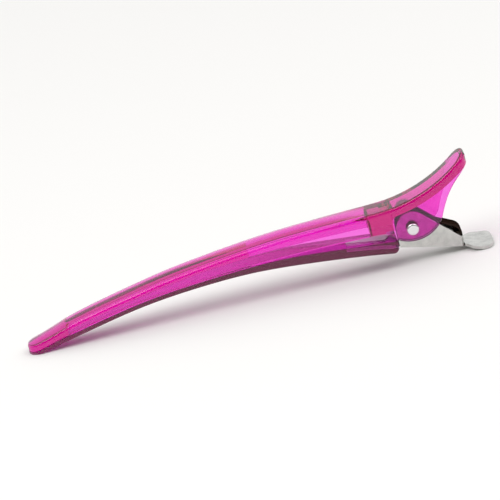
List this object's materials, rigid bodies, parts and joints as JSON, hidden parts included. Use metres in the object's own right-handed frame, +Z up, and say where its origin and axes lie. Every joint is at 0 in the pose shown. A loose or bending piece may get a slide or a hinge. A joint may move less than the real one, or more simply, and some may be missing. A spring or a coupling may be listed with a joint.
{
  "type": "duckbill hair clip",
  "caption": "Long curved duckbill hair clip: arched clear plastic jaws, steel lever with a leaf spring, and a thumb tab that opens it.",
  "frame": {"origin": "middle of the closed clip on the surface it stands on", "axes": "+X from the beak's tip to the lever's paddle, +Y across the clip along the hinge pin, +Z up"},
  "size_m": [0.11, 0.0104, 0.023],
  "materials": {
    "clear_plastic": "glossy clear tinted plastic",
    "plated_steel": "bright plated sheet steel",
    "pin_steel": "polished rivet",
    "spring_steel": "dark tempered steel"
  },
  "bodies": {
    "lower": {"lower_jaw": "clear_plastic", "lever": "plated_steel", "pin": "pin_steel", "spring": "spring_steel"},
    "upper": {"upper_jaw": "clear_plastic"}
  },
  "joints": [
    {"name": "jaw_hinge", "type": "hinge", "parent": "lower", "child": "upper", "pos_m": [0.0374, 0, 0.00855], "axis": [0, 1, 0], "range_deg": [0, 28], "stiffness_Nm_per_rad": 0.03, "springref_deg": -28.65, "deforming": ["spring"]}
  ]
}
